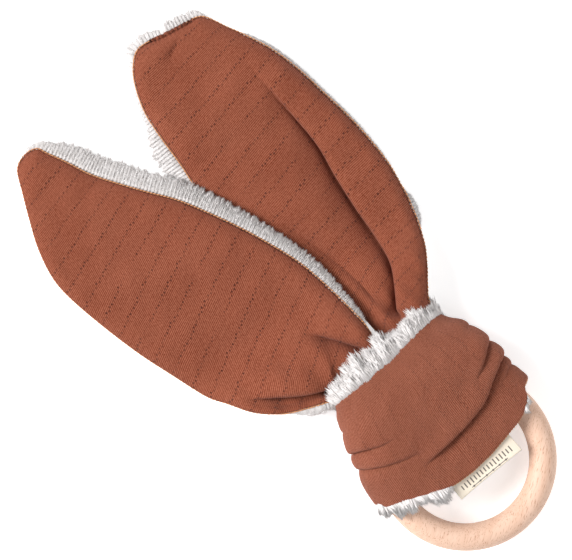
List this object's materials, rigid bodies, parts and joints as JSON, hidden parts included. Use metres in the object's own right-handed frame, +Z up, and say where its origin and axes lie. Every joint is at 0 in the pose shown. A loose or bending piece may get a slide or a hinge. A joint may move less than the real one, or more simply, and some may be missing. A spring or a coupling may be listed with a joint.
{
  "type": "teething ring",
  "caption": "Wooden teething ring with a long two-sided cloth strip hitched round it, whose two ends lie out as long ears.",
  "frame": {"origin": "centre of the wooden ring, in the middle of its rod's height", "axes": "+Z up along the ring's axis, towards the knit side; +Y from the ring through the knot to the ears; +X right"},
  "size_m": [0.131, 0.2406, 0.0265],
  "materials": {
    "beech": "oiled beech",
    "knit": "rust cotton eyelet knit",
    "plush": "off-white plush",
    "thread": "matching sewing thread",
    "woven_tab": "cream woven tape"
  },
  "bodies": {
    "knot": {"band_face": "knit", "band_plush": "plush", "band_top_seam": "thread", "band_hem_seam": "thread", "wrap_left_face": "knit", "wrap_left_plush": "plush", "wrap_right_face": "knit", "wrap_right_plush": "plush", "leg_left": "knit", "leg_right": "knit"},
    "ring": {"wooden_ring": "beech"},
    "left_root": {"left_root_face": "knit", "left_root_plush": "plush"},
    "left_ear": {"left_ear_face": "knit", "left_ear_plush": "plush", "left_ear_seam": "thread"},
    "right_root": {"right_root_face": "knit", "right_root_plush": "plush"},
    "right_ear": {"right_ear_face": "knit", "right_ear_plush": "plush", "right_ear_seam": "thread"},
    "label": {"label_tab": "woven_tab"}
  },
  "joints": [
    {"name": "ring_turn", "type": "hinge", "parent": "knot", "child": "ring", "pos_m": [0, 0, 0], "axis": [0, 0, 1], "continuous": true},
    {"name": "left_ear_swing", "type": "hinge", "parent": "knot", "child": "left_root", "pos_m": [-0.013, 0.048, 0], "axis": [0, 0, 1], "range_deg": [0, 12]},
    {"name": "left_ear_lift", "type": "hinge", "parent": "left_root", "child": "left_ear", "pos_m": [0, 0.061, 0.0045], "axis": [1, 0, 0], "range_deg": [-70, 95]},
    {"name": "right_ear_swing", "type": "hinge", "parent": "knot", "child": "right_root", "pos_m": [0.0145, 0.048, 0], "axis": [0, 0, -1], "range_deg": [0, 12]},
    {"name": "right_ear_lift", "type": "hinge", "parent": "right_root", "child": "right_ear", "pos_m": [0, 0.061, 0.0045], "axis": [1, 0, 0], "range_deg": [-70, 95]},
    {"name": "label_flap", "type": "hinge", "parent": "knot", "child": "label", "pos_m": [0, -0.0043, 0.0072], "axis": [1, 0, 0], "range_deg": [-60, 80]}
  ]
}
